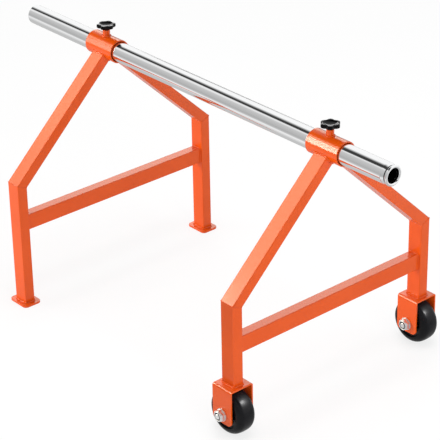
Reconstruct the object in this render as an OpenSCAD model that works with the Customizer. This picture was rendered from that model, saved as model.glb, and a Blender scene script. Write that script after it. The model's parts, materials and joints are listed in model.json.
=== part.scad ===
// Wire spool cart: a chrome bar for wire spools, carried by two welded A-shaped tube frames.
// One frame stands on foot plates and the other rolls on two fork-mounted wheels.
// Each frame slides along the bar on a collar and is clamped there by a star knob.
// Origin: on the floor, under the middle of the bar. +X runs along the bar towards the
// wheel frame, +Y runs from the near side to the far side, and +Z is up. Millimetres.

/* [Spool bar] */
// Outside diameter of the bar
bar_d = 35.5; // [30:0.5:40]
// Wall of the bar's tube
bar_wall = 2.5; // [1.5:0.1:4]
// Length of the bar, with its rolled rim
bar_length = 930; // [860:5:1000]
// Height of the bar's axis above the floor
bar_height = 441; // [400:1:500]
// Thickness of the rolled rim on the wheel end
rim_d = 5.2; // [4:0.1:7]
// Length of the neck between the tube and the rolled rim
neck_length = 12; // [8:0.5:20]
// How far the neck draws in from the bar's radius
neck_depth = 2.6; // [1.5:0.1:4]

/* [Frame places] */
// Distance from the bar's plain end to the middle of the foot frame
tail_length = 214; // [120:1:260]
// Distance between the middles of the two frames
frame_spacing = 574; // [500:1:620]

/* [Frame tubes] */
// Width of each frame over its two posts
frame_width = 446; // [380:1:520]
// Tube size along the bar
tube_x = 30; // [28:1:40]
// Tube size across the frame
tube_y = 20; // [16:1:26]
// Wall of the tubes
tube_wall = 1.5; // [1:0.1:1.6]
// Outer corner radius of the tubes
tube_round = 1.7; // [1.7:0.1:4]
// Height of the bend between post and brace, on the tubes' centre lines
bend_height = 236.7; // [220:0.1:260]
// Height of the crossbar's top face
crossbar_top = 176; // [150:1:195]

/* [Collars and bosses] */
// Length of each collar along the bar
collar_length = 72; // [50:1:100]
// Wall of the collars
collar_wall = 2.5; // [2:0.1:4]
// Radial gap between a collar and the bar
collar_gap = 1; // [0.3:0.05:1]
// Diameter of the threaded boss on each collar
boss_d = 13; // [12:0.5:18]
// Height of the boss above the collar
boss_height = 11; // [8:0.5:18]

/* [Clamping knobs] */
// Diameter over the knob's lobes
knob_d = 34; // [32:0.5:44]
// Number of lobes
knob_lobes = 6; // [5:1:8]
// Radius of each lobe
lobe_r = 5; // [4:0.1:5.5]
// Diameter of the knob's core, at the valleys between the lobes
knob_core_d = 28; // [24:0.5:28]
// Height of the knob's lobed rim
knob_rim_h = 6.5; // [6:0.5:12]
// Diameter of the hub under the rim
knob_hub_d = 17; // [14:0.5:22]
// Height of the hub under the rim
knob_hub_h = 3; // [2:0.5:6]
// Depth of the dish in the knob's top
knob_dish = 1.5; // [1:0.25:2]
// Diameter of the dish
knob_dish_d = 22; // [16:0.5:22]
// Gap between the knob's hub and the boss when clamped
knob_lift = 1.5; // [1:0.25:4]
// Turn of the foot frame's knob when clamped, in degrees
foot_knob_angle = 0; // [0:1:59]
// Turn of the wheel frame's knob when clamped, in degrees
wheel_knob_angle = 15; // [0:1:59]
// Diameter of the stud, over its thread
stud_d = 8; // [6:0.5:10]
// Gap between the stud's tip and the bar
stud_tip_gap = 0.2; // [0.1:0.05:0.5]
// Radial running clearance of studs, axle sleeves and nuts
running_gap = 0.05; // [0.02:0.01:0.1]

/* [Foot plates] */
// Foot plate size along the bar
foot_x = 49; // [46:1:70]
// Foot plate size across the frame
foot_y = 37; // [36:1:60]
// Foot plate thickness
foot_t = 4; // [3:0.5:8]
// Foot plate corner radius
foot_round = 8; // [3:0.5:12]
// Leg of the weld bead round each foot
foot_weld = 3; // [1.5:0.25:3.5]

/* [Wheel forks] */
// Height of the fork's top face
fork_top = 91; // [89:0.5:110]
// Fork size along the bar
fork_x = 45; // [44:1:60]
// Fork width over its two ears
fork_y = 48; // [46:0.5:60]
// Thickness of the fork's plate
fork_t = 3; // [2.5:0.25:5]
// Inner radius of the fork's bends
fork_bend = 1.2; // [0.6:0.1:3]
// Height of the ears' lower ends above the floor
ear_bottom = 24; // [18:0.5:26]
// Corner radius at the ears' lower ends
ear_round = 9; // [4:0.5:12]
// Leg of the weld bead between post and fork
fork_weld = 3.5; // [2:0.25:5]

/* [Wheels] */
// Wheel diameter over the tread
wheel_d = 80; // [77:1:84]
// Tread width
wheel_w = 37; // [26:0.5:38]
// Radius of the tread's rounded shoulders
tread_round = 12; // [6:0.5:13]
// Diameter of the hub's rim under the tyre
hub_rim_d = 50; // [44:1:53]
// Thickness of the hub's outer rim
hub_rim_t = 4; // [3:0.5:6]
// Width of the hub's outer rim
hub_rim_w = 30; // [20:1:34]
// Thickness of the hub's web
hub_web = 8; // [4:1:14]
// Diameter of the hub's centre boss
hub_boss_d = 28; // [25:1:32]
// Side gap between the wheel's boss and each ear
hub_side_gap = 0.5; // [0.3:0.1:1]

/* [Axles] */
// Diameter of the axle bolt
axle_d = 12; // [8:0.5:13]
// Outside diameter of the axle sleeve
sleeve_d = 18; // [16:0.5:20]
// Radial clearance of the bolt in its holes
bolt_gap = 0.25; // [0.1:0.05:0.5]
// Width across the flats of the bolt head and nut
hex_af = 19; // [18:0.5:21]
// Height of the bolt head
head_h = 7.5; // [5:0.1:9]
// Height of the nut's hexagon
nut_h = 6.5; // [5:0.5:11]
// Height of the nut's locking ring above the hexagon
lock_ring_h = 2; // [1:0.25:4]
// Bolt length beyond the nut
bolt_tip = 0.75; // [0.5:0.25:6]
// Washer diameter
washer_d = 22.5; // [21:0.5:28]
// Washer thickness
washer_t = 1.6; // [1:0.1:3]

/* [Hidden] */
$fn = 64;
weld_fn = 32;
big = 2000;

bar_r = bar_d / 2;
bar_x0 = -bar_length / 2;
neck_start = bar_length - rim_d / 2 - neck_length;
neck_steps = 12;
foot_frame_x = bar_x0 + tail_length;
wheel_frame_x = foot_frame_x + frame_spacing;

post_y = (frame_width - tube_y) / 2;
brace_angle = atan2(bar_height - bend_height, post_y);
brace_lean = 90 - brace_angle;
mitre_angle = brace_lean / 2;
brace_length = norm([post_y, bar_height - bend_height]);
crossbar_length = 2 * post_y - tube_y;

collar_bore_r = bar_r + collar_gap;
collar_r = collar_bore_r + collar_wall;
boss_top = bar_height + collar_r + boss_height;

knob_z0 = boss_top + knob_lift;
knob_rim_z = knob_z0 + knob_hub_h;
knob_top = knob_rim_z + knob_rim_h;
lobe_ring_r = knob_d / 2 - lobe_r;
dish_r = (pow(knob_dish_d / 2, 2) + pow(knob_dish, 2)) / (2 * knob_dish);
stud_z0 = bar_height + bar_r + stud_tip_gap;
stud_end_gap = 0.3;
socket_roof = 2.5;
stud_z1 = knob_top - knob_dish - socket_roof - stud_end_gap;
stud_hole_r = stud_d / 2 + running_gap;

wheel_r = wheel_d / 2;
ear_gap = fork_y - 2 * fork_t;
hub_boss_w = ear_gap - 2 * hub_side_gap;
bolt_hole_r = axle_d / 2 + bolt_gap;
hex_r = hex_af / (2 * cos(30));
nut_y = -fork_y / 2 - washer_t;
lock_ring_y = nut_y - nut_h;
bolt_end_y = lock_ring_y - lock_ring_h - bolt_tip;
head_y = fork_y / 2 + washer_t;

paint = [0.92, 0.33, 0.1];
chrome = [0.86, 0.87, 0.88];
zinc = [0.75, 0.76, 0.77];
black_plastic = [0.06, 0.06, 0.065];
black_rubber = [0.05, 0.05, 0.055];
steel = [0.55, 0.56, 0.58];

// The neck's outside radius after i of its neck_steps: it falls along half a cosine wave
function neck_radius(i) = bar_r - neck_depth * (1 - cos(180 * i / neck_steps)) / 2;

// A rectangle with round corners, centred on the origin
module rounded_rect(size_x, size_y, radius) {
    square([size_x - 2 * radius, size_y], center = true);
    square([size_x, size_y - 2 * radius], center = true);
    for (sx = [-1, 1], sy = [-1, 1])
        translate([sx * (size_x / 2 - radius), sy * (size_y / 2 - radius)])
            circle(r = radius);
}

// The section of the frame tubes: size_x by size_y, hollow
module tube_section(size_x, size_y) {
    difference() {
        rounded_rect(size_x, size_y, tube_round);
        rounded_rect(size_x - 2 * tube_wall, size_y - 2 * tube_wall, tube_round - tube_wall);
    }
}

// Puts its children on the near side (-1) or the far side (1) of a frame
module on_side(side) {
    if (side > 0) children();
    else mirror([0, 1, 0]) children();
}

// Everything above the mitre plane at the bend of the far side
module above_mitre() {
    translate([0, post_y, bend_height])
        rotate([mitre_angle, 0, 0])
            translate([-big / 2, -big / 2, 0])
                cube([big, big, big]);
}

// Everything below the mitre plane at the bend of the far side
module below_mitre() {
    translate([0, post_y, bend_height])
        rotate([mitre_angle, 0, 0])
            translate([-big / 2, -big / 2, -big])
                cube([big, big, big]);
}

// An upright post from its foot to the mitred bend
module post(side, foot_z) {
    color(paint)
        on_side(side)
            difference() {
                translate([0, post_y, foot_z])
                    linear_extrude(height = bend_height + tube_y - foot_z)
                        tube_section(tube_x, tube_y);
                above_mitre();
            }
}

// A sloping brace from the mitred bend to the collar, coped round the collar
module brace(side) {
    color(paint)
        on_side(side)
            difference() {
                translate([0, post_y, bend_height])
                    rotate([brace_lean, 0, 0])
                        translate([0, 0, -tube_y])
                            linear_extrude(height = brace_length + tube_y)
                                tube_section(tube_x, tube_y);
                below_mitre();
                along_bar(collar_length, collar_r);
            }
}

// The crossbar between the posts, of the same tube stood on its narrow side
module crossbar() {
    color(paint)
        translate([0, crossbar_length / 2, crossbar_top - tube_x / 2])
            rotate([90, 0, 0])
                linear_extrude(height = crossbar_length)
                    tube_section(tube_y, tube_x);
}

// A cylinder on the bar's axis, centred on the frame
module along_bar(length, radius) {
    translate([-length / 2, 0, bar_height])
        rotate([0, 90, 0])
            cylinder(h = length, r = radius);
}

// The threaded hole for the clamping stud
module stud_hole() {
    translate([0, 0, bar_height])
        cylinder(h = big, r = stud_hole_r);
}

// The collar that slides on the bar
module collar() {
    color(paint)
        difference() {
            along_bar(collar_length, collar_r);
            along_bar(collar_length + 2, collar_bore_r);
            stud_hole();
        }
}

// The boss that holds the stud's thread
module boss() {
    color(paint)
        difference() {
            translate([0, 0, bar_height])
                cylinder(h = boss_top - bar_height, d = boss_d);
            along_bar(collar_length, collar_r);
            stud_hole();
        }
}

// The clamping stud, from just above the bar up into the knob
module stud() {
    color(zinc)
        translate([0, 0, stud_z0])
            cylinder(h = stud_z1 - stud_z0, d = stud_d);
}

// The star knob: a lobed rim on a hub, with a dished top and a socket for the stud
module knob(angle) {
    color(black_plastic)
        difference() {
            union() {
                translate([0, 0, knob_rim_z])
                    linear_extrude(height = knob_rim_h)
                        knob_outline(angle);
                translate([0, 0, knob_z0])
                    cylinder(h = knob_hub_h, d = knob_hub_d);
            }
            translate([0, 0, knob_top + dish_r - knob_dish])
                sphere(r = dish_r);
            translate([0, 0, knob_z0 - 1])
                cylinder(h = stud_z1 + stud_end_gap - knob_z0 + 1, r = stud_hole_r);
        }
}

// The knob's outline seen from above, with one lobe at the given angle from the bar
module knob_outline(angle) {
    circle(d = knob_core_d);
    for (i = [0 : knob_lobes - 1])
        rotate(i * 360 / knob_lobes + angle)
            translate([lobe_ring_r, 0])
                circle(r = lobe_r);
}

// A foot plate that lies on the floor under a post
module foot_plate(side) {
    color(paint)
        translate([0, side * post_y, 0])
            linear_extrude(height = foot_t)
                rounded_rect(foot_x, foot_y, foot_round);
}

// A weld bead round the foot of both posts, standing on a face at height z
module post_welds(z, leg) {
    color(paint)
        for (side = [-1, 1])
            translate([0, side * post_y, z])
                difference() {
                    hull() {
                        linear_extrude(height = leg / 5)
                            rounded_rect(tube_x + 2 * leg, tube_y + 2 * leg, tube_round + leg, $fn = weld_fn);
                        linear_extrude(height = leg)
                            rounded_rect(tube_x + leg / 2, tube_y + leg / 2, tube_round + leg / 4, $fn = weld_fn);
                    }
                    translate([0, 0, -1])
                        linear_extrude(height = leg + 2)
                            rounded_rect(tube_x, tube_y, tube_round);
                }
}

// The fork's bent plate, seen along the bar: the outline of its outside or its inside
module fork_section(width, top, radius) {
    translate([-width / 2, 0])
        square([width, top - radius]);
    translate([-width / 2 + radius, 0])
        square([width - 2 * radius, top]);
    for (s = [-1, 1])
        translate([s * (width / 2 - radius), top - radius])
            circle(r = radius);
}

// A fork: one plate bent into an inverted U, with an axle hole in each rounded ear
module fork(side) {
    color(paint)
        translate([0, side * post_y, 0])
            difference() {
                intersection() {
                    translate([-fork_x / 2, 0, 0])
                        rotate([90, 0, 90])
                            linear_extrude(height = fork_x)
                                difference() {
                                    fork_section(fork_y, fork_top, fork_bend + fork_t);
                                    translate([0, -1])
                                        fork_section(ear_gap, fork_top - fork_t + 1, fork_bend);
                                }
                    translate([0, fork_y / 2 + 1, 0])
                        rotate([90, 0, 0])
                            linear_extrude(height = fork_y + 2)
                                ear_outline();
                }
                translate([0, fork_y / 2 + 1, wheel_r])
                    rotate([90, 0, 0])
                        cylinder(h = fork_y + 2, r = bolt_hole_r);
            }
}

// The fork seen along its axle, with rounded lower corners
module ear_outline() {
    translate([-fork_x / 2, ear_bottom + ear_round])
        square([fork_x, fork_top - ear_bottom]);
    translate([-fork_x / 2 + ear_round, ear_bottom])
        square([fork_x - 2 * ear_round, fork_top - ear_bottom]);
    for (s = [-1, 1])
        translate([s * (fork_x / 2 - ear_round), ear_bottom + ear_round])
            circle(r = ear_round);
}

// Puts its children, drawn along Z, on the axle of one side, with Z turned to +Y
module on_axle(side) {
    translate([0, side * post_y, wheel_r])
        rotate([-90, 0, 0])
            children();
}

// The axle bolt: a hexagon head on the far side and a shank through to the nut
module axle_bolt(side) {
    color(zinc)
        on_axle(side) {
            translate([0, 0, head_y])
                cylinder(h = head_h, r = hex_r, $fn = 6);
            translate([0, 0, bolt_end_y])
                cylinder(h = head_y - bolt_end_y, d = axle_d);
        }
}

// The lock nut: a hexagon and a round locking ring, on the near side of the fork
module axle_nut(side) {
    color(zinc)
        on_axle(side)
            difference() {
                union() {
                    translate([0, 0, lock_ring_y])
                        cylinder(h = nut_h, r = hex_r, $fn = 6);
                    translate([0, 0, lock_ring_y - lock_ring_h])
                        cylinder(h = lock_ring_h, d = hex_af - 1.5);
                }
                translate([0, 0, lock_ring_y - lock_ring_h - 1])
                    cylinder(h = nut_h + lock_ring_h + 2, r = axle_d / 2 + running_gap);
            }
}

// The two washers outside the ears
module axle_washers(side) {
    color(zinc)
        on_axle(side)
            for (y = [nut_y, fork_y / 2])
                translate([0, 0, y])
                    difference() {
                        cylinder(h = washer_t, d = washer_d);
                        translate([0, 0, -1])
                            cylinder(h = washer_t + 2, r = bolt_hole_r);
                    }
}

// The steel sleeve that the wheel turns on, clamped between the ears
module axle_sleeve(side) {
    color(steel)
        on_axle(side)
            translate([0, 0, -ear_gap / 2])
                difference() {
                    cylinder(h = ear_gap, d = sleeve_d);
                    translate([0, 0, -1])
                        cylinder(h = ear_gap + 2, r = bolt_hole_r);
                }
}

// The wheel's hub: rim, web and centre boss, bored for the sleeve
module wheel_hub(side) {
    color(black_plastic)
        on_axle(side)
            difference() {
                union() {
                    ring(hub_rim_w, hub_rim_d / 2, hub_rim_d / 2 - hub_rim_t);
                    ring(hub_web, hub_rim_d / 2 - hub_rim_t / 2, hub_boss_d / 2 - 1);
                    ring(hub_boss_w, hub_boss_d / 2, sleeve_d / 2);
                }
                cylinder(h = hub_boss_w + 2, r = sleeve_d / 2 + running_gap, center = true);
            }
}

// A flat-sided ring, centred on the origin
module ring(width, outer_r, inner_r) {
    difference() {
        cylinder(h = width, r = outer_r, center = true);
        cylinder(h = width + 2, r = inner_r, center = true);
    }
}

// The tyre, with a rounded tread
module tyre(side) {
    color(black_rubber)
        on_axle(side)
            rotate_extrude()
                tyre_section();
}

// Half of the tyre's section, from the hub's rim out to the tread
module tyre_section() {
    bead_r = hub_rim_d / 2;
    shoulder_r = wheel_r - tread_round;
    translate([bead_r, -wheel_w / 2])
        square([shoulder_r - bead_r, wheel_w]);
    translate([bead_r, -wheel_w / 2 + tread_round])
        square([wheel_r - bead_r, wheel_w - 2 * tread_round]);
    for (s = [-1, 1])
        intersection() {
            translate([shoulder_r, s * (wheel_w / 2 - tread_round)])
                circle(r = tread_round);
            translate([bead_r, -wheel_w / 2])
                square([wheel_r - bead_r, wheel_w]);
        }
}

// The spool bar: a tube whose wheel end is necked and rolled into a thick rim
module spool_bar() {
    color(chrome)
        translate([bar_x0, 0, bar_height])
            rotate([0, 90, 0])
                rotate_extrude()
                    bar_section();
}

// Half of the bar's section, from its plain end at the origin up to the rolled rim
module bar_section() {
    translate([bar_r - bar_wall, 0])
        square([bar_wall, neck_start]);
    polygon([
        for (i = [0 : neck_steps]) [neck_radius(i), neck_start + neck_length * i / neck_steps],
        for (i = [neck_steps : -1 : 0]) [neck_radius(i) - bar_wall, neck_start + neck_length * i / neck_steps]
    ]);
    translate([bar_r - rim_d / 2, bar_length - rim_d / 2])
        circle(d = rim_d);
}

spool_bar();

translate([foot_frame_x, 0, 0]) {
    post(-1, foot_t);  // foot_frame_near_post
    post(1, foot_t);  // foot_frame_far_post
    brace(-1);  // foot_frame_near_brace
    brace(1);  // foot_frame_far_brace
    crossbar();  // foot_frame_crossbar
    collar();  // foot_frame_collar
    boss();  // foot_frame_boss
    foot_plate(-1);  // near_foot_plate
    foot_plate(1);  // far_foot_plate
    post_welds(foot_t, foot_weld);  // foot_plate_welds
    stud();  // foot_frame_stud
    knob(foot_knob_angle);  // foot_frame_knob
}

translate([wheel_frame_x, 0, 0]) {
    post(-1, fork_top);  // wheel_frame_near_post
    post(1, fork_top);  // wheel_frame_far_post
    brace(-1);  // wheel_frame_near_brace
    brace(1);  // wheel_frame_far_brace
    crossbar();  // wheel_frame_crossbar
    collar();  // wheel_frame_collar
    boss();  // wheel_frame_boss
    fork(-1);  // near_fork
    fork(1);  // far_fork
    post_welds(fork_top, fork_weld);  // fork_welds
    stud();  // wheel_frame_stud
    knob(wheel_knob_angle);  // wheel_frame_knob
    axle_bolt(-1);  // near_axle_bolt
    axle_bolt(1);  // far_axle_bolt
    axle_nut(-1);  // near_axle_nut
    axle_nut(1);  // far_axle_nut
    axle_washers(-1);  // near_axle_washers
    axle_washers(1);  // far_axle_washers
    axle_sleeve(-1);  // near_axle_sleeve
    axle_sleeve(1);  // far_axle_sleeve
    wheel_hub(-1);  // near_wheel_hub
    wheel_hub(1);  // far_wheel_hub
    tyre(-1);  // near_tyre
    tyre(1);  // far_tyre
}
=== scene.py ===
"""Looks for the wire spool cart: finishes, turned and welded detail, studio and camera.

Metres, in the part's own frame: origin on the floor under the middle of the bar, +X along the
bar towards the wheel frame, +Y from the near side to the far side, +Z up.
"""
import json
import math

import bmesh
import bpy
from mathutils import Matrix, Vector

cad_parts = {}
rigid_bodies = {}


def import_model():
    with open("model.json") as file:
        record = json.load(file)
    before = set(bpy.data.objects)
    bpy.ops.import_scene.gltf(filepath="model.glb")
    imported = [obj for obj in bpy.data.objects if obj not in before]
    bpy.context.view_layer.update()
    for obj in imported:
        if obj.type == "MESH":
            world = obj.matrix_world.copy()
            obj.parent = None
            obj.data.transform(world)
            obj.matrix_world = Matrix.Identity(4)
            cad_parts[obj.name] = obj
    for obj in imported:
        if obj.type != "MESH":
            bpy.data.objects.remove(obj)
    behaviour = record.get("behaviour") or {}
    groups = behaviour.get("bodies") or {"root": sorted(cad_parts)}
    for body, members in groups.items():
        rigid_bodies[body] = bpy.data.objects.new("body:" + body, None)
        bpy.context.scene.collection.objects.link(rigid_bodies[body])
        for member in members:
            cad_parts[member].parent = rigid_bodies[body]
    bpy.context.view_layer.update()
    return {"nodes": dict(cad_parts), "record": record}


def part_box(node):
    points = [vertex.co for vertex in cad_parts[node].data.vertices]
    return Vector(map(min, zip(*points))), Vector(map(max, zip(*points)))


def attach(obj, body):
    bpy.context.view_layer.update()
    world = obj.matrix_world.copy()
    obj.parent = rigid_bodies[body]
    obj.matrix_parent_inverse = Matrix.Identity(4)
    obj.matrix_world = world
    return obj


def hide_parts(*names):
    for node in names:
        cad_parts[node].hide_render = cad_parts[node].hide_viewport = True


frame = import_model()

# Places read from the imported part
BAR_LOW, BAR_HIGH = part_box("spool_bar")
BAR_Z = (BAR_LOW.z + BAR_HIGH.z) / 2
BAR_R = (BAR_HIGH.z - BAR_LOW.z) / 2
FRAME_NAMES = ("foot", "wheel")
SIDES = {"near": -1, "far": 1}


def middle(node):
    """The middle of a node's box."""
    low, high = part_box(node)
    return (low + high) / 2


def extent_of(node):
    """The size of a node's box."""
    low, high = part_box(node)
    return high - low


POST = extent_of("foot_frame_far_post")
TUBE_X = POST.x
TUBE_Y = POST.y
POST_Y = middle("foot_frame_far_post").y
BEND_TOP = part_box("foot_frame_far_post")[1].z
COLLAR = extent_of("foot_frame_collar")
COLLAR_R = COLLAR.z / 2
BOSS_R = extent_of("foot_frame_boss").x / 2
CROSSBAR = extent_of("foot_frame_crossbar")
CROSSBAR_Z = middle("foot_frame_crossbar").z
FRAME_X = {name: middle(name + "_frame_collar").x for name in FRAME_NAMES}
TUBE_ROUND = 0.0017
ALONG_X = (0, math.pi / 2, 0)
ALONG_Y = (-math.pi / 2, 0, 0)
WHEEL_AXIS = (math.pi / 2, 0, 0)


def bend_place():
    """Height of the bend on the tubes' centre lines, and the mitre's angle, by repeated fitting."""
    height = BEND_TOP
    rounds = 30
    for _ in range(rounds):
        mitre = math.atan2(POST_Y, BAR_Z - height) / 2
        height = BEND_TOP - TUBE_Y / 2 * math.tan(mitre)
    return height, mitre


BEND_Z, MITRE = bend_place()


# Modelling helpers

def deselect():
    """Deselect every object."""
    bpy.ops.object.select_all(action="DESELECT")


def select_only(piece):
    """Select one object and make it the active one."""
    deselect()
    piece.select_set(True)
    bpy.context.view_layer.objects.active = piece


def name_piece(name):
    """Name the object that was just added."""
    piece = bpy.context.object
    piece.name = name
    piece.data.name = name
    return piece


def edit(piece, mode="FACE"):
    """Start editing a piece with nothing selected."""
    select_only(piece)
    bpy.ops.object.mode_set(mode="EDIT")
    bpy.ops.mesh.select_mode(type=mode)
    bpy.ops.mesh.select_all(action="DESELECT")


def leave_edit():
    """Go back to object mode."""
    bpy.ops.object.mode_set(mode="OBJECT")


def place(item):
    """The middle of a vertex, edge or face."""
    if isinstance(item, bmesh.types.BMVert):
        return item.co
    if isinstance(item, bmesh.types.BMEdge):
        return (item.verts[0].co + item.verts[1].co) / 2
    return item.calc_center_median()


def pick(piece, kind, wanted):
    """Select the verts, edges or faces of the edited piece for which wanted(item) is true."""
    bpy.ops.mesh.select_all(action="DESELECT")
    mesh = bmesh.from_edit_mesh(piece.data)
    for item in getattr(mesh, kind):
        if wanted(item):
            item.select_set(True)
    mesh.select_flush_mode()
    bmesh.update_edit_mesh(piece.data)


def turn_outward():
    """Turn every face of the edited piece outward."""
    bpy.ops.mesh.select_all(action="SELECT")
    bpy.ops.mesh.normals_make_consistent(inside=False)


def apply_modifier(piece, kind, **settings):
    """Add a modifier with these settings and apply it."""
    select_only(piece)
    modifier = piece.modifiers.new(kind.title(), kind)
    for name, value in settings.items():
        setattr(modifier, name, value)
    bpy.ops.object.modifier_apply(modifier=modifier.name)


def settle(piece):
    """Apply a piece's place, turn and scale to its mesh."""
    select_only(piece)
    bpy.ops.object.transform_apply(location=True, rotation=True, scale=True)
    return piece


def put(piece, at, turn=(0, 0, 0)):
    """Turn a piece that was made at the origin, move it to its place and apply both."""
    piece.rotation_euler = turn
    piece.location = at
    return settle(piece)


def smooth(piece, degrees):
    """Smooth shading, with edges sharper than the angle left sharp."""
    select_only(piece)
    bpy.ops.object.shade_smooth_by_angle(angle=math.radians(degrees))
    return piece


def even_faces(piece):
    """Smooth shading that keeps large flat faces flat beside their rounded edges."""
    smooth(piece, 60)
    apply_modifier(piece, "WEIGHTED_NORMAL", keep_sharp=True, weight=90)


def block(name, extent):
    """A block of this extent round the origin, to be shaped further."""
    deselect()
    bpy.ops.mesh.primitive_cube_add(size=1, location=(0, 0, 0))
    piece = name_piece(name)
    piece.scale = extent
    return settle(piece)


def drawn_line(name, points):
    """A closed line drawn vertex by vertex through the points, still edited and all selected."""
    deselect()
    bpy.ops.mesh.primitive_plane_add(size=0.001, location=(0, 0, 0))
    piece = name_piece(name)
    edit(piece, "VERT")
    bpy.ops.mesh.select_all(action="SELECT")
    bpy.ops.mesh.merge(type="CENTER")
    here = Vector(points[0])
    bpy.ops.transform.translate(value=here)
    for point in points[1:] + points[:1]:
        there = Vector(point)
        bpy.ops.mesh.extrude_vertices_move(TRANSFORM_OT_translate={"value": there - here})
        here = there
    bpy.ops.mesh.select_all(action="SELECT")
    return piece


def turned(name, profile, steps):
    """A closed turned piece round Z. The profile is a closed loop of (radius, height) points."""
    same_place = 0.000002
    piece = drawn_line(name, [(radius, 0, height) for radius, height in profile])
    bpy.ops.mesh.spin(steps=steps, angle=2 * math.pi, center=(0, 0, 0), axis=(0, 0, 1))
    bpy.ops.mesh.select_all(action="SELECT")
    bpy.ops.mesh.remove_doubles(threshold=same_place)
    bpy.ops.mesh.normals_make_consistent(inside=False)
    leave_edit()
    return piece


def arc(centre, radius, start, end, steps):
    """Points of an arc in the (radius, height) plane, from start to end degrees."""
    turns = [math.radians(start + (end - start) * i / steps) for i in range(steps + 1)]
    return [(centre[0] + radius * math.cos(t), centre[1] + radius * math.sin(t)) for t in turns]


# Shader helpers

def new_material(name):
    """A material with an empty tree, its shader and its output."""
    material = bpy.data.materials.new(name)
    material.use_nodes = True
    tree = material.node_tree
    tree.nodes.clear()
    shader = tree.nodes.new("ShaderNodeBsdfPrincipled")
    output = tree.nodes.new("ShaderNodeOutputMaterial")
    tree.links.new(shader.outputs["BSDF"], output.inputs["Surface"])
    return material, tree, shader


def link(tree, source, target):
    """Join an output socket to an input socket."""
    tree.links.new(source, target)


def object_place(tree, scale=(1, 1, 1)):
    """Object coordinates, scaled."""
    coordinates = tree.nodes.new("ShaderNodeTexCoord")
    mapping = tree.nodes.new("ShaderNodeMapping")
    mapping.inputs["Scale"].default_value = scale
    link(tree, coordinates.outputs["Object"], mapping.inputs["Vector"])
    return mapping.outputs["Vector"]


def parts_of(tree, vector):
    """The X, Y and Z sockets of a vector."""
    split = tree.nodes.new("ShaderNodeSeparateXYZ")
    link(tree, vector, split.inputs[0])
    return split.outputs


def calc(tree, operation, first, second=None):
    """A maths node on sockets or plain numbers."""
    node = tree.nodes.new("ShaderNodeMath")
    node.operation = operation
    for i, value in enumerate((first, second)):
        if isinstance(value, (int, float)):
            node.inputs[i].default_value = value
        elif value is not None:
            link(tree, value, node.inputs[i])
    return node.outputs[0]


def noise(tree, vector, scale, detail=2.0):
    """A noise texture's value."""
    node = tree.nodes.new("ShaderNodeTexNoise")
    node.inputs["Scale"].default_value = scale
    node.inputs["Detail"].default_value = detail
    link(tree, vector, node.inputs["Vector"])
    return node.outputs["Fac"]


def span(tree, value, low, high, start=0.35, end=0.65):
    """Map a value from start..end to low..high, clamped."""
    node = tree.nodes.new("ShaderNodeMapRange")
    node.inputs["From Min"].default_value = start
    node.inputs["From Max"].default_value = end
    node.inputs["To Min"].default_value = low
    node.inputs["To Max"].default_value = high
    link(tree, value, node.inputs["Value"])
    return node.outputs["Result"]


def blend(tree, share, first, second):
    """A number's socket that goes from a plain number to another socket by a share."""
    node = tree.nodes.new("ShaderNodeMix")
    node.inputs[2].default_value = first
    link(tree, share, node.inputs[0])
    link(tree, second, node.inputs[3])
    return node.outputs[0]


def blend_colour(tree, share, first, second):
    """Mix two colours by a share."""
    node = tree.nodes.new("ShaderNodeMix")
    node.data_type = "RGBA"
    node.inputs[6].default_value = (*first, 1)
    node.inputs[7].default_value = (*second, 1)
    link(tree, share, node.inputs[0])
    return node.outputs[2]


def bump(tree, height, distance, strength):
    """A bump of this height in metres."""
    node = tree.nodes.new("ShaderNodeBump")
    node.inputs["Distance"].default_value = distance
    node.inputs["Strength"].default_value = strength
    link(tree, height, node.inputs["Height"])
    return node.outputs["Normal"]


def mottle(tree, shader, pattern, colours, roughness):
    """Let a pattern run the colour and the roughness, each between its two values."""
    link(tree, blend_colour(tree, span(tree, pattern, 0, 1), *colours), shader.inputs["Base Color"])
    link(tree, span(tree, pattern, *roughness), shader.inputs["Roughness"])


def blend_shaders(tree, share, first, second):
    """Mix two shaders by a share."""
    node = tree.nodes.new("ShaderNodeMixShader")
    link(tree, share, node.inputs[0])
    link(tree, first, node.inputs[1])
    link(tree, second, node.inputs[2])
    return node.outputs[0]


# Materials

def powder_coat():
    """Glossy orange powder coat: faint orange peel and slight changes of depth."""
    colours = ((0.76, 0.088, 0.003), (0.80, 0.097, 0.005))
    roughness = (0.15, 0.18)
    cloud_scale, peel_scale = 14, 520
    peel_height, peel_strength = 0.00002, 0.07
    material, tree, shader = new_material("orange_powder_coat")
    place_on = object_place(tree)
    depth = noise(tree, place_on, cloud_scale, 3)
    link(tree, blend_colour(tree, span(tree, depth, 0, 1), *colours), shader.inputs["Base Color"])
    peel = noise(tree, place_on, peel_scale)
    link(tree, span(tree, peel, *roughness), shader.inputs["Roughness"])
    link(tree, bump(tree, peel, peel_height, peel_strength), shader.inputs["Normal"])
    shader.inputs["Specular IOR Level"].default_value = 0.45
    return material


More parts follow.
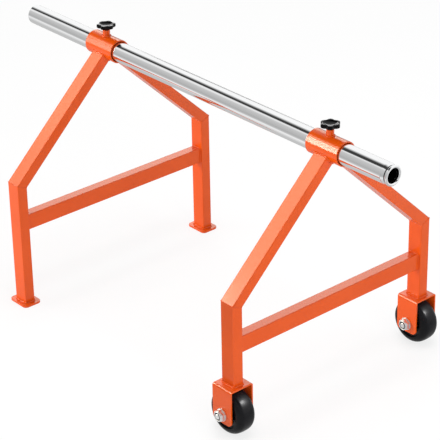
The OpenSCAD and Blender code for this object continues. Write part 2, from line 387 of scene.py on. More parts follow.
def chrome():
    """Bright chrome plate outside and on the rim, and a near-black painted shade with a dull roughness
    inside the tube.
    """
    # The inside colour is painted shade: it darkens the bore, where the tube lies in shade
    inside_painted_shade, outer_colour = (0.012, 0.012, 0.013), (0.93, 0.935, 0.94)
    inner_roughness, outer_roughness = 0.7, (0.05, 0.10)
    streak_scale = (6, 900, 900)
    rim_from, rim_full = BAR_HIGH.x - 0.007, BAR_HIGH.x - 0.005
    wall_from, wall_full = 0.0154, 0.0156
    material, tree, shader = new_material("bar_chrome")
    place_on = object_place(tree)
    streaks = noise(tree, object_place(tree, streak_scale), 1)
    centred = tree.nodes.new("ShaderNodeMapping")
    centred.inputs["Location"].default_value = (0, 0, -BAR_Z)
    centred.inputs["Scale"].default_value = (0, 1, 1)
    link(tree, place_on, centred.inputs["Vector"])
    radius = tree.nodes.new("ShaderNodeVectorMath")
    radius.operation = "LENGTH"
    link(tree, centred.outputs["Vector"], radius.inputs[0])
    near_rim = span(tree, parts_of(tree, place_on)["X"], 0, 1, rim_from, rim_full)
    wall = span(tree, radius.outputs["Value"], 0, 1, wall_from, wall_full)
    outside = calc(tree, "MAXIMUM", near_rim, wall)
    # Painted shade inside the tube, chrome outside and on the rim
    link(tree, blend_colour(tree, outside, inside_painted_shade, outer_colour), shader.inputs["Base Color"])
    shader.inputs["Metallic"].default_value = 1.0
    polish = blend(tree, outside, inner_roughness, span(tree, streaks, *outer_roughness))
    link(tree, polish, shader.inputs["Roughness"])
    return material


def zinc():
    """Bright zinc plate with a faint mottle."""
    material, tree, shader = new_material("bright_zinc")
    pattern = noise(tree, object_place(tree), 260, 4)
    mottle(tree, shader, pattern, ((0.88, 0.88, 0.89), (0.95, 0.95, 0.96)), (0.34, 0.46))
    shader.inputs["Metallic"].default_value = 1.0
    return material


def drawn_steel():
    """Grey drawn steel, its grain along Y."""
    material, tree, shader = new_material("drawn_steel")
    grain = noise(tree, object_place(tree, (500, 20, 500)), 1, 3)
    mottle(tree, shader, grain, ((0.30, 0.30, 0.31), (0.46, 0.46, 0.47)), (0.32, 0.45))
    shader.inputs["Metallic"].default_value = 1.0
    return material


def moulded(name, colours, roughness, specular, grain_scale, grain_height):
    """A moulded black plastic or rubber with a fine grain."""
    cloud_scale, grain_strength = 60, 0.5
    material, tree, shader = new_material(name)
    place_on = object_place(tree)
    mottle(tree, shader, noise(tree, place_on, cloud_scale, 3), colours, roughness)
    grain = noise(tree, place_on, grain_scale)
    link(tree, bump(tree, grain, grain_height, grain_strength), shader.inputs["Normal"])
    shader.inputs["Specular IOR Level"].default_value = specular
    return material


PAINT = powder_coat()
CHROME = chrome()
ZINC = zinc()
STEEL = drawn_steel()
KNOB_PLASTIC = moulded("gloss_black_plastic", colours=((0.002, 0.002, 0.002), (0.003, 0.003, 0.004)),
                       roughness=(0.11, 0.21), specular=0.13, grain_scale=900, grain_height=0.00001)
HUB_PLASTIC = moulded("black_nylon", colours=((0.010, 0.010, 0.011), (0.018, 0.018, 0.019)),
                      roughness=(0.37, 0.47), specular=0.38, grain_scale=700, grain_height=0.00004)
TYRE_RUBBER = moulded("black_rubber", colours=((0.003, 0.003, 0.004), (0.005, 0.005, 0.006)),
                      roughness=(0.25, 0.35), specular=0.18, grain_scale=650, grain_height=0.00003)

SLOT_MATERIALS = {
    "frame_paint": PAINT, "bar_chrome": CHROME, "zinc_plate": ZINC, "axle_steel": STEEL,
    "knob_plastic": KNOB_PLASTIC, "wheel_plastic": HUB_PLASTIC, "tyre_rubber": TYRE_RUBBER,
}


def finish_piece(piece, slot, body, *replaced):
    """Give a piece the material of its slot, attach it to its body, and hide the CAD nodes that it stands
    for.
    """
    piece.data.materials.clear()
    piece.data.materials.append(SLOT_MATERIALS[slot])
    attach(piece, body)
    if replaced:
        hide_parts(*replaced)


def dress_nodes():
    """Give every CAD node the material of its slot."""
    for subpart in frame["record"]["subparts"]:
        node = frame["nodes"][subpart["node"]]
        node.data.materials.clear()
        node.data.materials.append(SLOT_MATERIALS[subpart["material_slot"]])


# Spool bar and collars

def spool_bar():
    """The chrome tube, with an eased plain end and a rolled rim after a neck."""
    wall, rim, neck, depth, ease = 0.0025, 0.0026, 0.012, 0.0026, 0.0006
    lip, lip_shift, steps = 0.0007, 0.0003, 12
    length = BAR_HIGH.x - BAR_LOW.x
    start = length - rim - neck
    fall_run = neck - rim * 1.3
    outside = []
    for i in range(steps + 1):
        fall = depth * (1 - math.cos(math.pi * i / steps)) / 2
        outside.append((BAR_R - fall, start + fall_run * i / steps))
    inside = [(radius - wall, height) for radius, height in reversed(outside)]
    outside += arc((BAR_R - depth + lip, length - rim * 2.3 + lip_shift), lip, 200, 110, 5)
    profile = [(BAR_R - wall, ease), (BAR_R - wall + ease, 0), (BAR_R - ease, 0)]
    profile += arc((BAR_R - ease, ease), ease, -60, 0, 3)
    profile += outside
    profile += arc((BAR_R - rim, length - rim), rim, -75, 200, 20)
    profile += inside
    bar = turned("chrome_bar", profile, 160)
    smooth(bar, 40)
    put(bar, (BAR_LOW.x, 0, BAR_Z), ALONG_X)
    finish_piece(bar, "bar_chrome", "bar", "spool_bar")


def collar(name):
    """A tube collar with eased ends."""
    play, ease = 0.001, 0.0007
    half = COLLAR.x / 2
    bore = BAR_R + play
    profile = [(bore, -half + ease), (bore + ease, -half),
               (COLLAR_R - ease, -half), (COLLAR_R, -half + ease),
               (COLLAR_R, half - ease), (COLLAR_R - ease, half),
               (bore + ease, half), (bore, half - ease)]
    sleeve = turned(name + "_collar_sleeve", profile, 128)
    smooth(sleeve, 40)
    put(sleeve, (FRAME_X[name], 0, BAR_Z), ALONG_X)
    finish_piece(sleeve, "frame_paint", name + "_frame", name + "_frame_collar")


# Weld beads

def section_outline(half_x, half_y, radius):
    """Points round a rectangle with round corners, about one step apart."""
    step = 0.0006
    points = []
    corners = ((1, 1, 0), (-1, 1, 90), (-1, -1, 180), (1, -1, 270))
    for sign_x, sign_y, start in corners:
        centre = (sign_x * (half_x - radius), sign_y * (half_y - radius))
        points += arc(centre, radius, start, start + 90, 4)
    outline = []
    for first, second in zip(points, points[1:] + points[:1]):
        count = max(1, round(math.dist(first, second) / step))
        for i in range(count):
            share = i / count
            outline.append((first[0] + (second[0] - first[0]) * share,
                            first[1] + (second[1] - first[1]) * share))
    return outline


def bead(name, points, radius, ripple=0.10):
    """A rippled weld bead along a closed line of points."""
    pitch = 0.0024
    data = bpy.data.curves.new(name, "CURVE")
    data.dimensions = "3D"
    data.bevel_depth = radius
    data.bevel_resolution = 3
    line = data.splines.new("POLY")
    line.points.add(len(points) - 1)
    line.use_cyclic_u = True
    travelled = 0
    for i, point in enumerate(points):
        line.points[i].co = (*point, 1)
        line.points[i].radius = 1 + ripple * math.sin(2 * math.pi * travelled / pitch)
        travelled += math.dist(point, points[(i + 1) % len(points)])
    piece = bpy.data.objects.new(name, data)
    bpy.context.scene.collection.objects.link(piece)
    select_only(piece)
    bpy.ops.object.convert(target="MESH")
    piece = name_piece(name)
    return smooth(piece, 60)


def join(name, pieces):
    """Join pieces into one."""
    select_only(pieces[0])
    for piece in pieces[1:]:
        piece.select_set(True)
    bpy.ops.object.join()
    return name_piece(name)


def post_welds(name, frame_name, height, leg, replaced):
    """Fillet welds round the feet of a frame's two posts."""
    clear, radius = 0.0004, leg * 0.45
    beads = []
    for side, sign in SIDES.items():
        outline = section_outline(TUBE_X / 2 + clear, TUBE_Y / 2 + clear, TUBE_ROUND + clear)
        points = [(FRAME_X[frame_name] + x, sign * POST_Y + y, height + clear) for x, y in outline]
        beads.append(bead(side, points, radius))
    welds = join(name, beads)
    finish_piece(welds, "frame_paint", frame_name + "_frame", replaced)


def frame_welds(name):
    """The beads at a frame's mitres, crossbar ends, brace tops and boss."""
    mitre_bead, mitre_ripple, top_bead, crossbar_bead, boss_bead = 0.0006, 0.15, 0.0016, 0.0015, 0.0014
    top_clear, crossbar_sink, boss_clear = 0.0004, 0.0005, 0.0006
    top_width, ring_steps = 1.02, 96
    x0 = FRAME_X[name]
    beads = []
    lean = Vector((0, math.sin(2 * MITRE), -math.cos(2 * MITRE)))
    across = Vector((0, math.cos(2 * MITRE), math.sin(2 * MITRE)))
    for side, sign in SIDES.items():
        outline = section_outline(TUBE_X / 2, TUBE_Y / 2, TUBE_ROUND)
        seam = [(x0 + x, sign * (POST_Y + y), BEND_Z + y * math.tan(MITRE)) for x, y in outline]
        beads.append(bead(side + "_mitre", seam, mitre_bead, mitre_ripple))
        top = []
        for x, y in outline:
            reach = math.sqrt((COLLAR_R + top_clear) ** 2 - y * y)
            point = lean * reach + across * y
            top.append((x0 + x * top_width, sign * point.y, BAR_Z + point.z))
        beads.append(bead(side + "_top", top, top_bead))
        end = section_outline(CROSSBAR.x / 2, CROSSBAR.z / 2, TUBE_ROUND)
        end_y = sign * (CROSSBAR.y / 2 - crossbar_sink)
        joint = [(x0 + x, end_y, CROSSBAR_Z + z) for x, z in end]
        beads.append(bead(side + "_crossbar", joint, crossbar_bead))
    ring = []
    radius = BOSS_R + boss_clear
    for i in range(ring_steps):
        turn = 2 * math.pi * i / ring_steps
        x, y = radius * math.cos(turn), radius * math.sin(turn)
        ring.append((x0 + x, y, BAR_Z + math.sqrt(COLLAR_R ** 2 - y * y) + boss_clear))
    beads.append(bead("boss", ring, boss_bead))
    finish_piece(join(name + "_frame_welds", beads), "frame_paint", name + "_frame")


# Forks and foot plates

# How near to a face or line a picked vertex, edge or face lies
NEAR = 0.001


def ease_edges(piece, width):
    """Round a piece's sharp edges over this width."""
    apply_modifier(piece, "BEVEL", width=width, segments=3, limit_method="ANGLE",
                   angle_limit=math.radians(50))


def fork(side):
    """A fork: a plate bent into an inverted U, with rounded ears and eased edges."""
    low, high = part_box(side + "_fork")
    centre, extent = (low + high) / 2, high - low
    thickness, bend, ear_round, ease = 0.003, 0.0042, 0.009, 0.0005
    plate = put(block(side + "_bent_fork", extent), centre)
    edit(plate)
    pick(plate, "faces", lambda face: abs(face.normal.x) > 0.9 or face.normal.z < -0.9)
    bpy.ops.mesh.delete(type="FACE")
    bpy.ops.mesh.select_mode(type="EDGE")
    pick(plate, "edges",
         lambda edge: place(edge).z > high.z - NEAR and abs(place(edge).x - centre.x) < NEAR)
    bpy.ops.mesh.bevel(offset=bend, segments=8, affect="EDGES")
    bpy.ops.mesh.select_mode(type="VERT")
    pick(plate, "verts", lambda vert: vert.co.z < low.z + NEAR)
    bpy.ops.mesh.bevel(offset=ear_round, segments=10, affect="VERTICES")
    turn_outward()
    leave_edit()
    outward = sum(face.normal.z for face in plate.data.polygons if face.center.z > high.z - NEAR)
    inward = -1 if outward > 0 else 1
    apply_modifier(plate, "SOLIDIFY", thickness=thickness, offset=inward, use_even_offset=True)
    ease_edges(plate, ease)
    even_faces(plate)
    finish_piece(plate, "frame_paint", "wheel_frame", side + "_fork")


def foot_plate(side):
    """A foot plate with round corners and eased edges."""
    low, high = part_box(side + "_foot_plate")
    centre, extent = (low + high) / 2, high - low
    corner_round, ease = 0.008, 0.0006
    plate = put(block(side + "_rounded_foot", extent), centre)
    edit(plate, "EDGE")
    pick(plate, "edges", lambda edge: abs(place(edge).z - centre.z) < NEAR)
    bpy.ops.mesh.bevel(offset=corner_round, segments=10, affect="EDGES")
    leave_edit()
    ease_edges(plate, ease)
    even_faces(plate)
    finish_piece(plate, "frame_paint", "foot_frame", side + "_foot_plate")


# Knobs and studs

def star_outline(first_degrees):
    """Points round a six-lobed star: round lobes that flow into round valleys."""
    crest, valley, lobe = 0.0170, 0.0137, 0.0050
    lobe_step, count, sharpness = 60, 120, 14
    lobe_centre = crest - lobe
    points = []
    for i in range(count):
        turn = 2 * math.pi * i / count
        off = (math.degrees(turn) - first_degrees + lobe_step / 2) % lobe_step - lobe_step / 2
        across = lobe_centre * math.sin(math.radians(off))
        reach = 0.0
        if abs(across) < lobe:
            reach = lobe_centre * math.cos(math.radians(off)) + math.sqrt(lobe * lobe - across * across)
        radius = (reach ** sharpness + valley ** sharpness) ** (1 / sharpness)
        points.append((radius * math.cos(turn), radius * math.sin(turn)))
    return points


def star_knob(name, first_degrees):
    """A six-lobed knob with rounded edges, a dished top and a round hub below."""
    low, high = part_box(name + "_frame_knob")
    hub_radius, hub_bore, hub_ease, hub_height, overlap = 0.0085, 0.0042, 0.0006, 0.003, 0.001
    edge, crown, rim_radius, same_place = 0.0012, 0.0002, 0.0122, 0.00001
    dish = ((0.0120, 0.0001), (0.0116, 0.0004), (0.0105, 0.0012), (0.0090, 0.0020), (0.0070, 0.0027),
            (0.0045, 0.0031), (0.0020, 0.0033), (0.0005, 0.0033))
    rim_low = low.z + hub_height
    rim_height = high.z - rim_low
    first_scale = 0.90
    rises = ((edge * 0.4, 1.07), (edge * 0.6, 1.038), (rim_height - 2 * edge - crown, 1.0),
             (edge * 0.6, 0.975), (edge * 0.4, 0.93))
    outline = star_outline(first_degrees)
    knob = drawn_line(name + "_star_knob", [(x, y, 0) for x, y in outline])
    bpy.ops.mesh.remove_doubles(threshold=same_place)
    bpy.ops.mesh.edge_face_add()

    def resize(scale):
        """Scale the selected cap in plan."""
        bpy.ops.transform.resize(value=(scale, scale, 1), center_override=(0, 0, 0))

    def grow(rise, scale):
        """Extrude the selected cap up by rise and scale it in plan."""
        bpy.ops.mesh.extrude_region_move(TRANSFORM_OT_translate={"value": (0, 0, rise)})
        resize(scale)

    resize(first_scale)
    reached = sum(math.hypot(x, y) for x, y in outline) / len(outline) * first_scale
    for rise, scale in rises:
        grow(rise, scale)
        reached *= scale
    grow(crown, rim_radius / reached)
    bpy.ops.transform.tosphere(value=1, center_override=(0, 0, rim_height))
    radius, depth = rim_radius, 0.0
    for next_radius, next_depth in dish:
        grow(depth - next_depth, next_radius / radius)
        radius, depth = next_radius, next_depth
    turn_outward()
    leave_edit()
    put(knob, (0, 0, rim_low))
    hub_profile = [(hub_bore, low.z), (hub_radius - hub_ease, low.z), (hub_radius, low.z + hub_ease),
                   (hub_radius, rim_low + overlap), (hub_bore, rim_low + overlap)]
    round_hub = turned(name + "_hub", hub_profile, 64)
    whole = join(name + "_star_knob", [knob, round_hub])
    smooth(whole, 40)
    put(whole, (FRAME_X[name], 0, 0))
    finish_piece(whole, "knob_plastic", name + "_knob", name + "_frame_knob")


def threaded(low, high, radius, pitch, depth):
    """A closed profile of a rod whose surface is cut with thread grooves, from low to high."""
    points = [(0.0, low), (radius - depth, low)]
    height = low + pitch / 2
    while height < high - pitch / 2:
        points += [(radius, height), (radius - depth, height + pitch / 2)]
        height += pitch
    return points + [(radius - depth, high), (0.0, high)]


def stud(name):
    """A threaded stud."""
    low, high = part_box(name + "_frame_stud")
    pitch, groove = 0.00125, 0.0007
    profile = threaded(low.z, high.z, (high.x - low.x) / 2, pitch, groove)
    rod = turned(name + "_threaded_stud", profile, 40)
    smooth(rod, 25)
    put(rod, (FRAME_X[name], 0, 0))
    finish_piece(rod, "zinc_plate", name + "_stud", name + "_frame_stud")


# Axle bolts, nuts and washers

ACROSS_FLATS = 0.019


def hexagon(name, height, ease):
    """A hexagonal prism round the origin, its edges eased."""
    deselect()
    bpy.ops.mesh.primitive_cylinder_add(vertices=6, radius=ACROSS_FLATS / math.sqrt(3), depth=height,
                                        location=(0, 0, 0))
    prism = name_piece(name)
    ease_edges(prism, ease)
    return prism


def axle_bolt(side):
    """An axle bolt: hexagon head on the far side, plain shank, threaded end on the near side."""
    low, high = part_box(side + "_axle_bolt")
    centre = (low + high) / 2
    head_height, head_ease, radius = 0.0075, 0.0009, 0.006
    pitch, groove, thread_start, thread_end, runout = 0.00175, 0.0009, 0.0026, 0.022, 0.001
    face_radius, face_height = ACROSS_FLATS * 0.47, 0.0006
    length = high.y - low.y
    seat = length - head_height
    profile = [(0.0, 0.0), (0.0040, 0.0), (0.0045, 0.0005), (0.0047, 0.0012)]
    height = thread_start
    while height < thread_end:
        profile += [(radius, height), (radius - groove, height + pitch / 2)]
        height += pitch
    profile += [(radius, thread_end + runout), (radius, seat), (0.0, seat)]
    shank = turned(side + "_shank", profile, 48)
    face_profile = [(0.0, seat), (face_radius, seat), (face_radius, seat + face_height),
                    (0.0, seat + face_height)]
    washer_face = turned(side + "_face", face_profile, 48)
    hex_height = head_height - face_height
    head = hexagon(side + "_head", hex_height, head_ease)
    put(head, (0, 0, length - hex_height / 2))
    bolt = join(side + "_hex_bolt", [shank, washer_face, head])
    smooth(bolt, 28)
    put(bolt, (centre.x, low.y, centre.z), ALONG_Y)
    finish_piece(bolt, "zinc_plate", "wheel_frame", side + "_axle_bolt")


def lock_nut(side):
    """A lock nut: chamfered hexagon, a round crown, and the dark nylon ring inside it."""
    low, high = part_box(side + "_axle_nut")
    centre = (low + high) / 2
    hex_height, hex_ease, sink = 0.0065, 0.0007, 0.0004
    crown = high.y - low.y - hex_height
    body = hexagon(side + "_body", hex_height, hex_ease)
    put(body, (0, 0, crown + hex_height / 2))
    crown_profile = [(0.0066, crown + sink), (0.0066, 0.0010), (0.0070, 0.0003), (0.0076, 0.0)]
    crown_profile += arc((0.0078, 0.0012), 0.0012, -90, 0, 5) + [(0.0092, crown + sink)]
    crown_piece = turned(side + "_crown", crown_profile, 64)
    nut = join(side + "_lock_nut", [body, crown_piece])
    smooth(nut, 30)
    put(nut, (centre.x, low.y, centre.z), ALONG_Y)
    finish_piece(nut, "zinc_plate", "wheel_frame", side + "_axle_nut")
    ring_profile = [(0.00605, crown), (0.00605, 0.0016), (0.0049, 0.0009), (0.0050, 0.0006),
                    (0.0062, 0.0004), (0.0067, 0.0007), (0.0067, crown)]
    ring = turned(side + "_nylon_ring", ring_profile, 64)
    smooth(ring, 30)
    put(ring, (centre.x, low.y, centre.z), ALONG_Y)
    finish_piece(ring, "wheel_plastic", "wheel_frame")


# Wheels

def rounded_loop(points, radius, steps):
    """A closed loop of points with each corner rounded."""
    loop = []
    count = len(points)
    for i, point in enumerate(points):
        before, corner, after = Vector(points[i - 1]), Vector(point), Vector(points[(i + 1) % count])
        start = corner + (before - corner).normalized() * radius
        end = corner + (after - corner).normalized() * radius
        for step in range(steps + 1):
            t = step / steps
            loop.append(tuple(start * (1 - t) ** 2 + corner * 2 * t * (1 - t) + end * t ** 2))
    return loop


def tyre(side):
    """A turned rubber tyre with a crowned tread and a bead seat on each side."""
    low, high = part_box(side + "_tyre")
    centre, half = (low + high) / 2, (high.y - low.y) / 2
    radius = (high.z - low.z) / 2
    inner, shoulder, crown, shoulder_end, wall_step = 0.025, 0.012, 0.060, 78, 0.0005
    reach = (half - shoulder) / (1 - shoulder / crown)
    lean = math.degrees(math.asin(reach / crown))
    shoulder_at = (radius - crown + (crown - shoulder) * math.cos(math.radians(lean)), half - shoulder)
    profile = arc((radius - crown, 0), crown, 0, lean, 8)[:-1]
    profile += arc(shoulder_at, shoulder, lean, shoulder_end, 14)
    profile += [(radius - shoulder - wall_step, half - 0.0004), (0.0272, half - 0.0012),
                (0.0262, half - 0.0030), (inner, half - 0.0034), (inner, 0)]
    mirrored = [(r, -h) for r, h in reversed(profile[1:-1])]
    ring = turned(side + "_rubber_tyre", profile + mirrored, 160)
    smooth(ring, 40)
    put(ring, centre, WHEEL_AXIS)
    finish_piece(ring, "tyre_rubber", side + "_wheel", side + "_tyre")


def hub(side):
    """A moulded hub: rim, web, boss, and six ribs on each side."""
    low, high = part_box(side + "_wheel_hub")
    centre, boss_half = (low + high) / 2, (high.y - low.y) / 2
    bore, boss_r, rim_in, rim_out, rim_half, web_half = 0.00925, 0.014, 0.021, 0.025, 0.015, 0.004
    corner_round, rib_overlap, rib_thick, rib_tall = 0.0008, 0.002, 0.0024, 0.009
    rib_lift, rib_ease, ribs_a_side, first_rib = 0.004, 0.0005, 6, 30
    section = [(rim_out, -rim_half), (rim_out, rim_half), (rim_in, rim_half), (rim_in, web_half),
               (boss_r, web_half), (boss_r, boss_half), (bore, boss_half), (bore, -boss_half),
               (boss_r, -boss_half), (boss_r, -web_half), (rim_in, -web_half), (rim_in, -rim_half)]
    body = turned(side + "_hub_body", rounded_loop(section, corner_round, 3), 128)
    reach = (rim_in + boss_r) / 2
    ribs = []
    for face in (-1, 1):
        for i in range(ribs_a_side):
            rib = block("rib", (rim_in - boss_r + rib_overlap, rib_thick, rib_tall))
            apply_modifier(rib, "BEVEL", width=rib_ease, segments=2, limit_method="ANGLE")
            turn = math.radians(360 / ribs_a_side * i + first_rib)
            at = (reach * math.cos(turn), reach * math.sin(turn), face * (web_half + rib_lift))
            ribs.append(put(rib, at, (0, 0, turn)))
    whole = join(side + "_ribbed_hub", [body] + ribs)
    smooth(whole, 35)
    put(whole, centre, WHEEL_AXIS)
    finish_piece(whole, "wheel_plastic", side + "_wheel", side + "_wheel_hub")


# Studio floor

# The part of the floor's brightness to the camera that is its own, so that shadows stay faint
FLOOR_GLOW = 0.78
# Painted reflections: tones of the floor's glow that only mirrors see, as (place, tone): across it by Y,
# along it by X, and two painted card reflections by X, one past an edge on the near side and one past an
# edge on the far side
FLOOR_REACH = 4
FLOOR_ACROSS = ((-4, 0.44), (-1.9, 0.46), (-1.2, 0.50), (-0.94, 0.62), (-0.70, 0.84), (-0.60, 0.84),
                (-0.41, 0.70), (-0.27, 0.62), (-0.16, 0.52), (4, 0.53))
FLOOR_ALONG = ((-4, 1.0), (0.18, 1.1), (0.38, 1.1), (0.50, 1.0), (4, 1.0))
NEAR_PAINTED_CARD_EDGE = (-0.28, -0.32)
NEAR_PAINTED_CARD = ((-4, 1.0), (-0.06, 1.0), (0.0, 0.5), (0.18, 0.5), (0.24, 1.0), (4, 1.0))
FAR_PAINTED_CARD_EDGE = (0.5, 0.6)
FAR_PAINTED_CARD = ((-4, 1.9), (-1.75, 1.9), (-1.5, 0.1), (-0.85, 0.12), (-0.5, 1.7), (4, 1.7))


def light_path(tree, *names):
    """The largest of these light path flags."""
    path = tree.nodes.new("ShaderNodeLightPath")
    value = path.outputs[names[0]]
    for name in names[1:]:
        value = calc(tree, "MAXIMUM", value, path.outputs[name])
    return value


def ramp(tree, value, stops, low, high):
    """A grey ramp: the value, from low to high, looked up in (value, level) stops."""
    node = tree.nodes.new("ShaderNodeValToRGB")
    link(tree, span(tree, value, 0, 1, low, high), node.inputs["Fac"])
    elements = node.color_ramp.elements
    for i, (at, level) in enumerate(stops):
        position = (at - low) / (high - low)
        element = elements[i] if i < 2 else elements.new(position)
        element.position = position
        element.color = (level, level, level, 1)
    return node.outputs["Color"]


def painted_card_reflection(tree, split, edge, stops):
    """A painted card reflection: a tone along X where Y is past its soft edge, and one elsewhere."""
    past = span(tree, split["Y"], 0, 1, *edge)
    return blend(tree, past, 1, ramp(tree, split["X"], stops, -FLOOR_REACH, FLOOR_REACH))


def painted_mirror_tone(tree):
    """White to the camera. Mirrors see painted reflections of grey cards in the floor's glow, which draw
    the edges of the chrome.
    """
    split = parts_of(tree, object_place(tree))
    across = ramp(tree, split["Y"], FLOOR_ACROSS, -FLOOR_REACH, FLOOR_REACH)
    along = ramp(tree, split["X"], FLOOR_ALONG, -FLOOR_REACH, FLOOR_REACH)
    far = painted_card_reflection(tree, split, FAR_PAINTED_CARD_EDGE, FAR_PAINTED_CARD)
    near = painted_card_reflection(tree, split, NEAR_PAINTED_CARD_EDGE, NEAR_PAINTED_CARD)
    tone = calc(tree, "MULTIPLY", calc(tree, "MULTIPLY", across, along), calc(tree, "MULTIPLY", far, near))
    seen = light_path(tree, "Is Camera Ray")
    unseen = calc(tree, "SUBTRACT", 1, seen)
    return calc(tree, "ADD", calc(tree, "MULTIPLY", tone, unseen), seen)


def floor():
    """A wide pale floor that keeps the cart's shadow."""
    radius, drop = 14, 0.0002
    colours = ((0.90, 0.90, 0.90), (0.92, 0.92, 0.92))
    speckle_scale = 3
    deselect()
    bpy.ops.mesh.primitive_circle_add(vertices=96, radius=radius, fill_type="NGON", location=(0, 0, -drop))
    ground = name_piece("studio_floor")
    material, tree, shader = new_material("pale_floor")
    speckle = noise(tree, object_place(tree), speckle_scale)
    link(tree, blend_colour(tree, span(tree, speckle, 0, 1), *colours), shader.inputs["Base Color"])
    shader.inputs["Roughness"].default_value = 0.9
    shader.inputs["Specular IOR Level"].default_value = 0.1
    glow = tree.nodes.new("ShaderNodeEmission")
    # The floor's glow carries the painted card reflections that only mirrors see
    link(tree, painted_mirror_tone(tree), glow.inputs["Strength"])
    seen = span(tree, light_path(tree, "Is Camera Ray", "Is Transmission Ray"), 0, FLOOR_GLOW, 0, 1)
    share = calc(tree, "MAXIMUM", seen, light_path(tree, "Is Glossy Ray"))
    surface = blend_shaders(tree, share, shader.outputs["BSDF"], glow.outputs["Emission"])
    link(tree, surface, tree.nodes["Material Output"].inputs["Surface"])
    ground.data.materials.append(material)


# Studio room

ROOM_LEVEL = 0.50
# Tones that mirrors see of the room, as (degrees above -Y, tone)
ROOM_BANDS = ((-180, 1.0), (-165, 0.4), (-90, 0.5), (-10, 0.44), (5, 0.49), (36, 0.57), (46, 0.62),
              (56, 0.86), (66, 0.86), (112, 1.0), (180, 1.0))
# The dark line on the bar: its tone, its two edges as (degrees, degrees, from X, to X), and how many
# degrees each edge takes to fade
LINE_LEVEL = 0.05
LINE_HIGH = (94, 88, -0.76, -0.68)
LINE_LOW = (77, 64, -0.76, -0.62)
HIGH_FADE, LOW_FADE = 24, 5
# The thin line on top of the bar, as (X, tone), and the degrees where it starts and is full
TOP_LINE = ((-1, 1.0), (-0.75, 1.0), (-0.73, 0.08), (-0.69, 0.12), (-0.66, 0.6), (-0.64, 1.0), (1, 1.0))
TOP_LINE_EDGE = (167, 174)


def room_tone(tree):
    """What mirrors see of the room: white above and behind, greyer in front, with two dark lines."""
    coordinates = tree.nodes.new("ShaderNodeTexCoord")
    split = parts_of(tree, coordinates.outputs["Generated"])
    turn = calc(tree, "ARCTAN2", split["Z"], calc(tree, "MULTIPLY", split["Y"], -1))
    degrees = calc(tree, "DEGREES", turn)
    bands = ramp(tree, degrees, ROOM_BANDS, -180, 180)
    line_high = span(tree, split["X"], *LINE_HIGH)
    above_line = span(tree, calc(tree, "SUBTRACT", degrees, line_high), LINE_LEVEL, 1, 0, HIGH_FADE)
    line_low = span(tree, split["X"], *LINE_LOW)
    below_line = span(tree, calc(tree, "SUBTRACT", line_low, degrees), LINE_LEVEL, 1, 0, LOW_FADE)
    bands = calc(tree, "MULTIPLY", bands, calc(tree, "MAXIMUM", above_line, below_line))
    off_top = span(tree, calc(tree, "ABSOLUTE", degrees), 1, 0, *TOP_LINE_EDGE)
    top_line = calc(tree, "MAXIMUM", off_top, ramp(tree, split["X"], TOP_LINE, -1, 1))
    return calc(tree, "MULTIPLY", bands, top_line)


def world():
    """A pale room: white to the camera, its own tones in mirrors, and an even soft light."""
    scene_world = bpy.data.worlds.new("studio")
    bpy.context.scene.world = scene_world
    scene_world.use_nodes = True
    tree = scene_world.node_tree
    tree.nodes.clear()
    output = tree.nodes.new("ShaderNodeOutputWorld")
    background = tree.nodes.new("ShaderNodeBackground")
    background.inputs["Color"].default_value = (1, 1, 1, 1)
    background.inputs["Strength"].default_value = ROOM_LEVEL
    mirror = tree.nodes.new("ShaderNodeBackground")
    link(tree, room_tone(tree), mirror.inputs["Color"])
    white = tree.nodes.new("ShaderNodeBackground")
    white.inputs["Color"].default_value = (1, 1, 1, 1)
    to_mirror = light_path(tree, "Is Glossy Ray")
    to_camera = light_path(tree, "Is Camera Ray", "Is Transmission Ray")
    mirrored = blend_shaders(tree, to_mirror, background.outputs[0], mirror.outputs[0])
    link(tree, blend_shaders(tree, to_camera, mirrored, white.outputs[0]), output.inputs["Surface"])


# Lamps and camera

def area_light(name, at, target, size, power, lights=None, in_mirrors=True, colour=(1, 1, 1), lean=0):
    """A soft light of this width and height that faces the target, and may light only one collection."""
    data = bpy.data.lights.new(name, "AREA")
    data.shape = "RECTANGLE"
    data.size, data.size_y = size
    data.energy = power
    data.color = colour
    lamp = bpy.data.objects.new(name, data)
    bpy.context.scene.collection.objects.link(lamp)
    lamp.location = at
    facing = (Vector(target) - Vector(at)).to_track_quat("-Z", "Y").to_matrix()
    lamp.rotation_euler = (facing @ Matrix.Rotation(math.radians(lean), 3, "Z")).to_euler()
    lamp.visible_camera = False
    lamp.visible_glossy = in_mirrors
    if lights:
        lamp.light_linking.receiver_collection = lights


def wearing(name, *materials):
    """A collection of every piece that wears one of these materials, for a lamp to light."""
    group = bpy.data.collections.new(name)
    for piece in bpy.context.scene.objects:
        if piece.type == "MESH" and any(material.name in piece.data.materials for material in materials):
            group.objects.link(piece)
    return group


def camera():
    """The camera at the photograph's viewing angle."""
    azimuth, elevation, roll = math.radians(49.44), math.radians(27.57), math.radians(-1.06)
    distance, focal_pixels, picture, far_end = 3.31321, 1959.59, 440, 60
    target = Vector((0.11452, -0.05479, 0.250))
    back = Vector((math.sin(azimuth) * math.cos(elevation), -math.cos(azimuth) * math.cos(elevation),
                   math.sin(elevation)))
    right = (-back).cross(Vector((0, 0, 1))).normalized()
    up = right.cross(-back)
    rolled_right = right * math.cos(roll) + up * math.sin(roll)
    rolled_up = -right * math.sin(roll) + up * math.cos(roll)
    data = bpy.data.cameras.new("camera")
    data.sensor_width = 36
    data.lens = data.sensor_width * focal_pixels / picture
    data.clip_end = far_end
    view = bpy.data.objects.new("camera", data)
    bpy.context.scene.collection.objects.link(view)
    turn = Matrix((rolled_right, rolled_up, back)).transposed().to_4x4()
    view.matrix_world = Matrix.Translation(target + back * distance) @ turn
    bpy.context.scene.camera = view


# The first lobe's angle on each knob
KNOB_ANGLES = {"foot": 0, "wheel": 15}
POST_WELD_LEG, FORK_WELD_LEG = 0.003, 0.0035
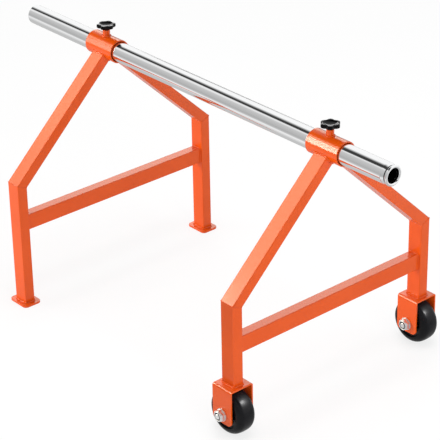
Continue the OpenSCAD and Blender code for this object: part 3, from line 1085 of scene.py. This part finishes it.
# These stand mostly out of the key light
SHADED = ("wheel_frame_near_post", "foot_frame_crossbar", "wheel_frame_crossbar")
# This one is lit by a small high panel instead, mirrored along its bend
BEND_LIT = ("near_bent_fork",)
WARM = (1.0, 0.95, 0.78)
WARMER = (1.0, 0.92, 0.62)

dress_nodes()
spool_bar()
for frame_name in FRAME_NAMES:
    collar(frame_name)
    frame_welds(frame_name)
    star_knob(frame_name, KNOB_ANGLES[frame_name])
    stud(frame_name)
for side_name in SIDES:
    fork(side_name)
    foot_plate(side_name)
    axle_bolt(side_name)
    lock_nut(side_name)
    tyre(side_name)
    hub(side_name)
post_welds("foot_welds", "foot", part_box("near_foot_plate")[1].z, POST_WELD_LEG, "foot_plate_welds")
post_welds("fork_top_welds", "wheel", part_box("near_fork")[1].z, FORK_WELD_LEG, "fork_welds")

floor()
world()
painted = wearing("painted", PAINT, ZINC)
shaded = bpy.data.collections.new("shaded")
bend_lit = bpy.data.collections.new("bend_lit")
keyed = bpy.data.collections.new("keyed")
for piece in painted.objects:
    group = shaded if piece.name in SHADED else bend_lit if piece.name in BEND_LIT else keyed
    group.objects.link(piece)
tyres = wearing("tyres", TYRE_RUBBER)
knobs = wearing("knobs", KNOB_PLASTIC)
ground = wearing("ground", bpy.data.materials["pale_floor"])
area_light("key_soft_light", at=(-2.95, -3.3, 1.9), target=(0.3, 0, 1.9), size=(0.66, 3.3), power=133,
           lights=keyed, colour=WARM, lean=19)
area_light("left_soft_light", at=(-3.2, -2.5, 1.4), target=(-0.25, 0, 1.4), size=(0.8, 2.4), power=25,
           lights=keyed, colour=WARM, lean=16)
area_light("shaded_key_light", at=(-2.95, -3.3, 1.9), target=(0.3, 0, 1.9), size=(0.66, 3.3), power=34,
           lights=shaded, colour=WARM, lean=19)
area_light("bend_soft_light", at=(-2.56, -2.37, 3.3), target=(0.32, -0.21, 0.13), size=(0.55, 0.8),
           power=84, lights=bend_lit, colour=WARM)
area_light("upper_soft_light", at=(-3.9, -2.5, 3.9), target=(0, 0, 0.25), size=(1.6, 1.6), power=37,
           lights=painted, colour=WARMER)
area_light("side_fill_light", at=(2.4, -0.5, 1.0), target=(0, 0, 0.2), size=(1.0, 1.0), power=16,
           in_mirrors=False)
area_light("rear_soft_light", at=(2.12, 1.06, 2.08), target=(0.35, -0.1, 0.06), size=(0.34, 0.34),
           power=94, lights=tyres)
area_light("back_soft_light", at=(-2.35, 2.03, 1.78), target=(0, 0, 0.2), size=(1.6, 1.6), power=16,
           lights=painted, colour=WARM)
area_light("knob_soft_light", at=(-1.79, 1.59, 1.09), target=(0.04, 0, 0.48), size=(2.4, 0.8), power=26,
           lights=knobs)
area_light("floor_soft_light", at=(0, 0, 4), target=(0, 0, 0), size=(3.0, 3.0), power=112,
           lights=ground, in_mirrors=False)
camera()

bpy.context.scene.view_settings.view_transform = "Standard"
